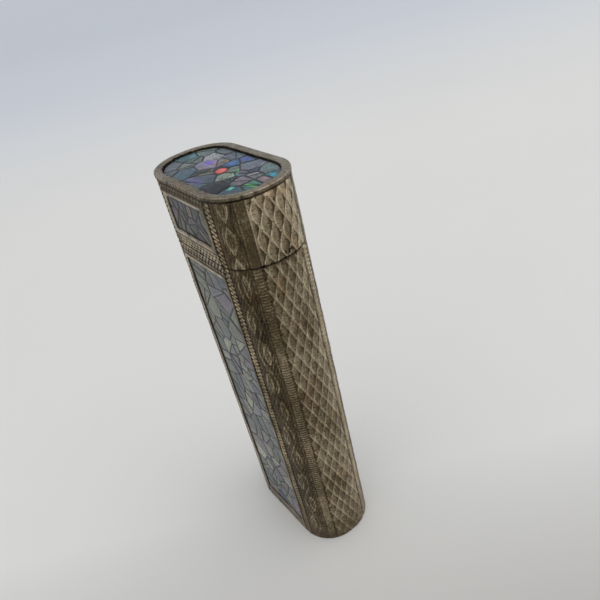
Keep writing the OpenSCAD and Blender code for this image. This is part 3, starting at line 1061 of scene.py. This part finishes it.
def chips(name, cells, colours, to_space, border_distance, gap, seed, bend, material):
    """Chips of shell with soft edges, each tilted a little. colours holds two colours for each chip.
    to_space turns (across, up, height) arrays into places in the frame."""
    rng = random.Random(seed)
    points, faces, tints, places = [], [], [], []
    total = 0
    for cell, (first_colour, second_colour) in zip(cells, colours):
        widening = rng.uniform(0.7, 1.3) if rng.random() < 0.72 else rng.uniform(1.6, 3.0)
        ring = chip_outline(cell, gap * widening) if len(cell) > 2 else None
        tilt = np.array([rng.uniform(-0.014, 0.014), rng.uniform(-0.014, 0.014)])
        lift = rng.uniform(-0.02, 0.0)
        turn = rng.uniform(0, 2 * math.pi)
        offset = np.array([rng.uniform(0, 50), rng.uniform(0, 50)])
        if ring is None:
            continue
        ring = bent(ring, border_distance, seed, bend)
        middle = ring.mean(0)
        count = len(ring)
        reach = np.linalg.norm(middle - ring, axis=1)[:, None]
        inward = (middle - ring) / reach
        size = float(reach.max())
        lean = np.array([math.cos(turn), math.sin(turn)])
        spin = np.array([[lean[0], -lean[1]], [lean[1], lean[0]]])
        rings = []
        for inset, drop, light in CHIP_PROFILE:
            flat = ring + inward * (reach * 0.5 if inset is None else np.minimum(inset, reach * 0.4))
            rings.append((flat, lift - drop + (flat - middle) @ tilt, light))
        rings.append((middle[None, :], np.array([lift]), 1.0))
        for flat, height, light in rings:
            share = np.clip(0.5 + 0.5 * ((flat - middle) @ lean) / size, 0, 1)[:, None]
            points.append(to_space(flat[:, 0], flat[:, 1], height))
            tints.append((np.array(first_colour) * (1 - share) + np.array(second_colour) * share) * light)
            textured = (flat - middle) @ spin + offset
            places.append(np.concatenate([textured, np.zeros((len(flat), 1))], 1))
        bands = len(CHIP_PROFILE) - 1
        for k in range(bands):
            faces += band_faces(total + k * count, total + (k + 1) * count, count)
        last, centre = total + bands * count, total + (bands + 1) * count
        faces += [(last + i, last + (i + 1) % count, centre) for i in range(count)]
        faces.append(tuple(reversed(range(total, total + count))))
        total = centre + 1
    piece = make_object(name, np.concatenate(points), faces, material, sharp_degrees=70, fix_normals=True)
    rgba = np.ones((total, 4), np.float32)
    rgba[:, :3] = np.concatenate(tints)
    add_attribute(piece, "chip_colour", "FLOAT_COLOR", "color", rgba)
    add_attribute(piece, "chip_place", "FLOAT_VECTOR", "vector", np.concatenate(places))
    return piece


# Shell colours of the side panels, from pale to deep
SIDE_SHADES = [
    screen(176, 178, 166), screen(160, 162, 150), screen(142, 152, 138), screen(148, 150, 142),
    screen(118, 124, 140), screen(108, 126, 122), screen(132, 122, 142), screen(84, 94, 138),
]
# How much darker the shell is than the colours above, because the light brightens it
SHELL_GAIN = 0.74
# Which of the side shades is commonest, and the share of cells that a crack splits
COMMON_SHADE = 4.6
SIDE_CRACKS, TOP_CRACKS = 0.45, 0.5
# Tints of the panels on the case and the cap
CASE_TONE = np.array([0.88, 0.85, 0.79])
CAP_TONE = np.array([0.39, 0.33, 0.31])


def panel_mosaic(name, node, side, body, seed, chip_area, gap, tone, left_gap):
    """Chips over a bed of resin, in a rectangular bezel. tone darkens them.
    left_gap is how much resin shows between the left edge and the chips."""
    rng = random.Random(seed)
    low, high = node_box(node)
    left = low[0] + left_gap
    outline = [(left, low[2]), (high[0], low[2]), (high[0], high[2]), (left, high[2])]
    seeds = scattered_seeds((left, low[2]), (high[0], high[2]), chip_area, rng)
    cells = cracked([cell for cell in mosaic_cells(outline, seeds) if len(cell) > 2], SIDE_CRACKS, rng)
    colours = []
    for cell in cells:
        height = (np.mean([p[1] for p in cell]) - low[2]) / (high[2] - low[2])
        pick = min(len(SIDE_SHADES) - 1, int(rng.triangular(0, len(SIDE_SHADES), COMMON_SHADE)))
        base = SIDE_SHADES[pick] * SHELL_GAIN * tone * rng.uniform(0.46, 1.26)
        other = SIDE_SHADES[rng.randrange(len(SIDE_SHADES))] * SHELL_GAIN * tone
        fade = 1 - 0.22 * smoothstep(0.78, 0.95, height)
        colours.append((base * fade, (base * 0.6 + other * 0.4) * fade))

    def to_space(across, up, height):
        return np.stack([across, side * (CASE_DEPTH / 2 - 0.06 + height), up], 1)

    def border_distance(across, up):
        sideways = np.minimum(across - left, high[0] - across)
        return np.minimum(sideways, np.minimum(up - low[2], high[2] - up))

    piece = chips(name + "_chips", cells, colours, to_space, border_distance, gap, seed, 0.08, SIDE_SHELL)
    stand_for(piece, body, "shell_mosaic")
    ring = rounded_rectangle(high[0], low[2], high[2], 0.1, side_points=40)
    rings = [face_points(ring, side, -POCKET_DEPTH), face_points(ring, side, -0.12)]
    bed = loft(name + "_bed", rings, RESIN, cap_first=True, cap_last=True)
    stand_for(bed, body, "shell_mosaic", node)


# The lid's chips: place across and back, weight, and the screen colours of each chip's two ends
TOP_CHIPS = [
    (0.9, -0.1, 0.3, (250, 88, 92), (250, 120, 112)),
    (-4.4, 0.1, 2.6, (150, 142, 172), (128, 126, 150)),
    (-6.8, 2.8, 1.6, (172, 172, 184), (150, 152, 168)),
    (-7.1, 5.4, 1.2, (112, 126, 142), (124, 136, 148)),
    (-2.8, 4.9, 1.6, (112, 126, 152), (104, 120, 136)),
    (-2.6, 2.4, 0.4, (138, 132, 130), (120, 124, 130)),
    (0.8, 5.2, 1.0, (84, 100, 150), (104, 122, 146)),
    (-0.2, 2.9, 0.8, (66, 108, 172), (80, 120, 150)),
    (4.3, 3.8, 2.6, (130, 136, 158), (112, 128, 148)),
    (8.4, 4.7, 2.0, (130, 148, 154), (108, 130, 140)),
    (11.4, 3.7, 0.8, (70, 140, 166), (96, 130, 140)),
    (11.5, 1.9, 0.3, (150, 126, 146), (124, 128, 136)),
    (8.3, 1.9, 0.5, (134, 138, 148), (148, 142, 156)),
    (6.5, 3.0, 0.2, (58, 70, 96), (84, 98, 118)),
    (5.3, 1.4, 0.1, (112, 122, 140), (96, 108, 126)),
    (2.9, 1.2, 0.4, (130, 142, 136), (112, 124, 116)),
    (4.0, -1.1, 1.4, (138, 152, 146), (120, 136, 130)),
    (8.3, -0.8, 1.2, (136, 130, 146), (120, 118, 138)),
    (11.3, -0.8, 1.2, (62, 112, 106), (72, 122, 112)),
    (10.4, -3.5, 1.4, (60, 82, 112), (64, 104, 120)),
    (6.5, -4.3, 2.8, (6, 8, 20), (22, 24, 44)),
    (6.1, -1.7, 0.1, (60, 72, 82), (78, 92, 92)),
    (1.2, -4.3, 4.6, (108, 106, 144), (84, 116, 128)),
    (-0.7, -2.2, 0.5, (136, 130, 118), (112, 112, 106)),
    (-2.3, -2.3, 0.1, (70, 84, 78), (84, 92, 88)),
    (-5.0, -4.0, 2.8, (82, 114, 134), (74, 100, 122)),
    (-8.0, -2.3, 0.5, (128, 132, 134), (112, 120, 128)),
    (-10.4, -3.9, 1.8, (124, 126, 146), (104, 114, 132)),
    (-7.3, -5.6, 0.1, (96, 110, 116), (84, 98, 108)),
    (-11.3, 0.1, 1.0, (92, 124, 134), (74, 110, 124)),
    (-8.8, 0.0, 0.9, (108, 126, 130), (98, 114, 112)),
    (-10.3, 2.9, 0.7, (120, 136, 134), (104, 122, 132)),
]
# The red chip and the darkest one stay whole
RED_CHIP, DARK_CHIP = 0, 20
RED_CHIP_RADII = (1.25, 1.2)
RED_CHIP_CORNERS = 10
# Tint of the lid's chips
TOP_TONE = np.array([0.93, 0.90, 0.81])


def top_mosaic():
    """The lid's chips, with the red one in the middle."""
    low, high = node_box("top_inlay")
    rim = RIM_HIGH - RIM_LOW
    border = RIM_BORDER + 0.08
    width, depth, radius = rim[0] - 2 * border, rim[1] - 2 * border, RIM_RADIUS - border
    outline = [(p[0], p[1]) for p in oval_ring(width, depth, radius, 0, count=96)]
    whole = mosaic_cells(outline, [chip[:3] for chip in TOP_CHIPS])
    red_cell = whole[RED_CHIP]
    centre_x, centre_y = TOP_CHIPS[RED_CHIP][:2]
    pebble = [
        (centre_x + RED_CHIP_RADII[0] * math.cos(turn), centre_y + RED_CHIP_RADII[1] * math.sin(turn))
        for turn in np.linspace(0, 2 * math.pi, RED_CHIP_CORNERS, endpoint=False)
    ]
    for a, b in zip(red_cell, red_cell[1:] + red_cell[:1]):
        normal = (b[1] - a[1], a[0] - b[0])
        pebble = clip_polygon(pebble, normal, a[0] * normal[0] + a[1] * normal[1])
    whole[RED_CHIP] = pebble
    gain = SHELL_GAIN * TOP_TONE
    rng = random.Random(72)
    cells, colours = [], []
    for i, (cell, (_, _, _, first, second)) in enumerate(zip(whole, TOP_CHIPS)):
        for part in cracked([cell], 0.0 if i in (RED_CHIP, DARK_CHIP) else TOP_CRACKS, rng):
            light = gain * rng.uniform(0.72, 1.22)
            cells.append(part)
            colours.append((screen(*first) * light, screen(*second) * light))
    surface = high[2]

    def to_space(across, back, height):
        return np.stack([across, back, surface + height], 1)

    def border_distance(across, back):
        out_x = np.clip(np.abs(across) - (width / 2 - radius), 0, None)
        out_y = np.clip(np.abs(back) - (depth / 2 - radius), 0, None)
        return radius - np.hypot(out_x, out_y)

    piece = chips("top_mosaic_chips", cells, colours, to_space, border_distance, 0.15, 71, 0.05, TOP_SHELL)
    stand_for(piece, "cap", "shell_mosaic")
    flange = (high[0] - low[0], high[1] - low[1], CORNER_RADIUS - WALL)
    rings = [
        oval_ring(*flange, low[2]), oval_ring(*flange, RIM_LOW[2]),
        oval_ring(width, depth, radius, RIM_LOW[2]), oval_ring(width, depth, radius, surface - 0.07),
    ]
    bed = loft("top_mosaic_bed", rings, RESIN, cap_first=True, cap_last=True)
    stand_for(bed, "cap", "shell_mosaic", "top_inlay")


# ----------------------------------------
# Rim, inner parts
# ----------------------------------------


def top_rim():
    """The flat rim plate, with painted shade inside its opening, and ragged along the inner edge at the
    front.
    """
    size = RIM_HIGH - RIM_LOW
    low, high = RIM_LOW[2], RIM_HIGH[2]
    # Distance in from the edge, height, and brightness: the brightness paints a highlight on the outer
    # edge, and shade at the foot of its outer side and down the inside of its opening
    profile = [
        (0.14, low, 0.03), (0.02, low + 0.10, 0.12), (0.0, low + 0.22, 0.40), (0.0, high - 0.14, 0.42),
        (0.03, high - 0.05, 0.74), (0.10, high, 0.72), (0.35, high, 0.54), (0.6, high, 0.60),
        (0.85, high, 0.55), (1.1, high, 0.58), (RIM_BORDER - 0.30, high, 0.60),
        (RIM_BORDER - 0.12, high - 0.01, 0.50), (RIM_BORDER - 0.03, high - 0.05, 0.16),
        (RIM_BORDER, high - 0.12, 0.03), (RIM_BORDER, low, 0.0)
    ]
    rings, shades = [], []
    for inset, z, shade in profile:
        ring = oval_ring(size[0] - 2 * inset, size[1] - 2 * inset, RIM_RADIUS - inset, z, count=900)
        across, back = ring[:, 0], ring[:, 1]
        fine = flat_noise(across, back, 41, 0.22)
        broad = flat_noise(across, back, 42, 1.4)
        grime = np.clip(flat_noise(across, back, 43, 0.3), 0, 1)
        near_edges = smoothstep(0.55, 0.15, inset) + smoothstep(RIM_BORDER - 0.6, RIM_BORDER - 0.2, inset)
        grime = grime * (0.25 + near_edges)
        front = smoothstep(1.0, -4.0, back)
        light = shade + 0.08 * broad + 0.05 * fine - (0.12 + 0.26 * front) * grime - 0.05 * front
        if inset > RIM_BORDER - 0.4:
            torn = np.clip(fine - 0.15, 0, 1) * (0.4 + 0.6 * front)
            normal = ring[:, :2] / np.linalg.norm(ring[:, :2], axis=1)[:, None]
            reach = smoothstep(RIM_BORDER - 0.4, RIM_BORDER - 0.05, inset)
            ring[:, :2] += normal * (0.30 * torn * reach)[:, None]
            light = light * (1 - 0.8 * np.clip(torn * 2, 0, 1) * reach)
        rings.append(ring)
        shades.append(light)
    piece = loft("rim_plate", rings, RIM, closed=True, sharp_degrees=60)
    add_value(piece, "shade", np.clip(np.concatenate(shades), 0, 1))
    stand_for(piece, "cap", "rim_silver", "top_frame")


def collar():
    """Oval spigot with a soft upper edge and a round bore."""
    low, high = node_box("cap_collar")
    width, depth = high[0] - low[0], high[1] - low[1]
    radius, bore = 6.505, 6.35
    rings = [
        oval_ring(width, depth, radius, low[2]),
        oval_ring(width, depth, radius, high[2] - 0.35),
        oval_ring(width - 0.1, depth - 0.1, radius - 0.05, high[2] - 0.12),
        oval_ring(width - 0.4, depth - 0.4, radius - 0.2, high[2]),
        round_ring(bore + 0.12, high[2]),
        round_ring(bore, high[2] - 0.12),
        round_ring(bore, low[2]),
    ]
    piece = loft("oval_collar", rings, INNER_SILVER, closed=True)
    stand_for(piece, "case", "inner_silver", "cap_collar")


def knurled_ring():
    """The ring that the fingers turn, with fine teeth between two plain beads."""
    low, high = node_box("turning_ring")
    outer, bore, lip = high[0], 6.32, 5.95
    teeth, points_per_tooth, tooth_depth = 40, 12, 0.26
    count = teeth * points_per_tooth
    tooth = np.abs((np.arange(count) % points_per_tooth) / points_per_tooth - 0.5) * 2

    def ring(radius, z, cut=0.0):
        circle = round_ring(1.0, z, count)
        circle[:, :2] *= (radius - cut * tooth)[:, None]
        return circle

    z_low, z_high = low[2], high[2]
    rings = [
        ring(bore, z_low), ring(outer - 0.22, z_low), ring(outer - 0.08, z_low + 0.12),
        ring(outer - 0.08, z_low + 0.3), ring(outer - 0.25, z_low + 0.4),
        ring(outer, z_low + 0.52, tooth_depth), ring(outer, z_high - 0.7, tooth_depth),
        ring(outer - 0.25, z_high - 0.58), ring(outer - 0.1, z_high - 0.46),
        ring(outer - 0.1, z_high - 0.2), ring(outer - 0.25, z_high - 0.05),
        ring(outer - 0.45, z_high), ring(lip + 0.1, z_high),
        ring(lip, z_high - 0.08), ring(lip, z_high - 0.3), ring(bore, z_high - 0.3),
    ]
    piece = loft("knurled_ring", rings, GILT, closed=True)
    stand_for(piece, "neck", "gilt_brass", "turning_ring")


def lipstick():
    """The stick: a round column with a slanting, soft-edged tip."""
    low, high = node_box("lipstick")
    radius, tip = high[0], high[2]
    slope = math.tan(math.radians(42))
    count, softness = 160, 1.6

    def top_height(x):
        """Height of the slanting cut, blended softly into the tip's height."""
        cut = tip - slope * (x + radius * 0.6)
        return -np.logaddexp(-cut * softness, -tip * softness) / softness

    def side_ring(share, inset=0.0, drop=0.0):
        circle = round_ring(radius - inset, 0, count)
        top = np.minimum(top_height(circle[:, 0]), tip - 0.02) - drop
        circle[:, 2] = low[2] + (top - low[2]) * share
        return circle

    rings = [round_ring(radius - 0.3, low[2], count), round_ring(radius, low[2] + 0.3, count)]
    rings += [side_ring(share, 0, 0.6) for share in (0.3, 0.6, 0.85, 1.0)]
    rings += [side_ring(1.0, 0.06, 0.3), side_ring(1.0, 0.22, 0.1), side_ring(1.0, 0.5, 0.02)]
    rings += [side_ring(1.0, radius * part) for part in (0.2, 0.35, 0.5, 0.65, 0.8, 0.92, 0.985)]
    piece = loft("stick", rings, LIPSTICK, cap_first=True, cap_last=True, sharp_degrees=80)
    stand_for(piece, "carrier", "lipstick_red", "lipstick")


def keep_cad(node, material):
    """A CAD node that stays as it is and gets its finish."""
    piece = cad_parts[node]
    piece.data.materials.clear()
    piece.data.materials.append(material)


# ----------------------------------------
# The object
# ----------------------------------------

wall = engraved_wall("engraved_case_wall", CASE_LOW[2], CASE_HIGH[2], CASE_PANEL_Z, False, SILVER)
stand_for(wall, "case", "engraved_silver", "case_shell")
wall = engraved_wall("engraved_cap_wall", CAP_LOW[2], CAP_HIGH[2], CAP_PANEL_Z, True, SILVER)
stand_for(wall, "cap", "engraved_silver", "cap_shell")

# Each bezel: its body, the start of its nodes' names, its inner radius and its seed
BEZELS = [("case", "", 0.3, 50), ("cap", "cap_", 0.9, 54)]
# Each mosaic: its body, the start of its nodes' names, its seed, the area of a chip, the gap, the tint,
# and how much resin shows at the chips' left edge
MOSAICS = [
    ("case", "", 80, 14.0, 0.175, CASE_TONE, 0.45),
    ("cap", "cap_", 90, 6.4, 0.20, CAP_TONE, 0.15),
]
for side, place in ((-1, "front"), (1, "back")):
    for body, start, inner_radius, seed in BEZELS:
        name = start + place
        ring = bezel(
            name + "_bezel_frame", name + "_bezel", name + "_inlay", side, inner_radius, seed + side
        )
        stand_for(ring, body, "bezel_silver", name + "_bezel")
    for body, start, seed, *looks in MOSAICS:
        name = start + place
        panel_mosaic(name + "_mosaic", name + "_inlay", side, body, seed + side, *looks)

top_rim()
top_mosaic()
collar()
knurled_ring()
lipstick()
for material, nodes in (
    (BASE_SILVER, ["base_plate"]),
    (INNER_SILVER, ["top_tray"]),
    (GILT, ["spiral_tube", "guide_tube", "stick_cup"]),
    (STEEL, ["mechanism_cradle", "retaining_ring", "drive_lugs"]),
):
    for node in nodes:
        keep_cad(node, material)

# ----------------------------------------
# Floor, light and camera
# ----------------------------------------


# The camera: where it stands from the object, how it is tilted, its distance in metres, and its lens
VIEW_AZIMUTH = math.radians(60.56)
VIEW_ELEVATION = math.radians(33.28)
VIEW_ROLL = math.radians(-13.83)
VIEW_DISTANCE = 0.1203
LENS_MM = 34.72
SENSOR_MM = 36.0
CLIP_START = 0.005
# Where the middle of the case sits, as a share of the picture to the right of and above its centre
AIM_RIGHT, AIM_UP = -0.0408, -0.1011
# The table in metres: half its width, and its distance and height from front to back
FLOOR_HALF_WIDTH = 2.0
FLOOR_BACK = 1.6
FLOOR_PROFILE = [
    (-1.2, 0), (FLOOR_BACK * 0.7, 0), (FLOOR_BACK * 0.85, 0.03), (FLOOR_BACK, 0.15),
    (FLOOR_BACK * 1.08, 0.5), (FLOOR_BACK * 1.1, 1.4)
]
FLOOR_COLUMNS = 9
# Colour and strength of the sky, and the lamp's place, aim, size and power
SKY_COLOUR, SKY_STRENGTH = (0.96, 0.975, 1.0, 1), 0.86
LAMP = ((0.35, 0.45, 0.9), (0, 0, 0.04), 0.9, 1.6)


def add_floor():
    """A pale table that runs back and rises softly."""
    away = Vector((-math.sin(VIEW_AZIMUTH), math.cos(VIEW_AZIMUTH), 0))
    across = Vector((math.cos(VIEW_AZIMUTH), math.sin(VIEW_AZIMUTH), 0))
    points, faces = [], []
    for distance, height in FLOOR_PROFILE:
        for share in np.linspace(-1, 1, FLOOR_COLUMNS):
            place = away * distance + across * (share * FLOOR_HALF_WIDTH)
            points.append((place.x / MM, place.y / MM, height / MM))
    for row in range(len(FLOOR_PROFILE) - 1):
        for column in range(FLOOR_COLUMNS - 1):
            first = row * FLOOR_COLUMNS + column
            faces.append((first, first + 1, first + FLOOR_COLUMNS + 1, first + FLOOR_COLUMNS))
    floor = make_object("floor", points, faces, floor_material(), sharp_degrees=80)


def add_area(name, place, aim, size, power):
    """A soft square lamp."""
    light = bpy.data.lights.new(name, "AREA")
    light.shape = "SQUARE"
    light.size = size
    light.energy = power
    lamp = bpy.data.objects.new(name, light)
    lamp.location = place
    lamp.rotation_euler = (Vector(aim) - Vector(place)).to_track_quat("-Z", "Y").to_euler()
    bpy.context.scene.collection.objects.link(lamp)


def add_camera():
    """The camera stands to the right of the front and looks down, tilted a little to its left."""
    back = Vector((
        math.sin(VIEW_AZIMUTH) * math.cos(VIEW_ELEVATION),
        -math.cos(VIEW_AZIMUTH) * math.cos(VIEW_ELEVATION),
        math.sin(VIEW_ELEVATION),
    ))
    level = Vector((math.cos(VIEW_AZIMUTH), math.sin(VIEW_AZIMUTH), 0))
    upward = back.cross(level)
    right = math.cos(VIEW_ROLL) * level + math.sin(VIEW_ROLL) * upward
    upward = -math.sin(VIEW_ROLL) * level + math.cos(VIEW_ROLL) * upward
    turn = Matrix((right, upward, back)).transposed()
    middle = Vector((0, 0, RIM_HIGH[2] / 2 * MM))
    scale = SENSOR_MM / LENS_MM
    sight = Vector((AIM_RIGHT * scale, AIM_UP * scale, -1)) * VIEW_DISTANCE
    camera = bpy.data.objects.new("camera", bpy.data.cameras.new("camera"))
    camera.data.lens = LENS_MM
    camera.data.sensor_width = SENSOR_MM
    camera.data.clip_start = CLIP_START
    camera.matrix_world = Matrix.Translation(middle - turn @ sight) @ turn.to_4x4()
    bpy.context.scene.collection.objects.link(camera)
    bpy.context.scene.camera = camera


def add_light():
    """Plain soft studio light: a bright sky all round, and one large lamp above."""
    world = bpy.data.worlds.new("studio")
    world.use_nodes = True
    sky = world.node_tree.nodes["Background"].inputs
    sky["Color"].default_value = SKY_COLOUR
    sky["Strength"].default_value = SKY_STRENGTH
    bpy.context.scene.world = world
    add_area("soft_lamp", *LAMP)


add_camera()
add_floor()
add_light()
bpy.context.scene.view_settings.view_transform = "Standard"
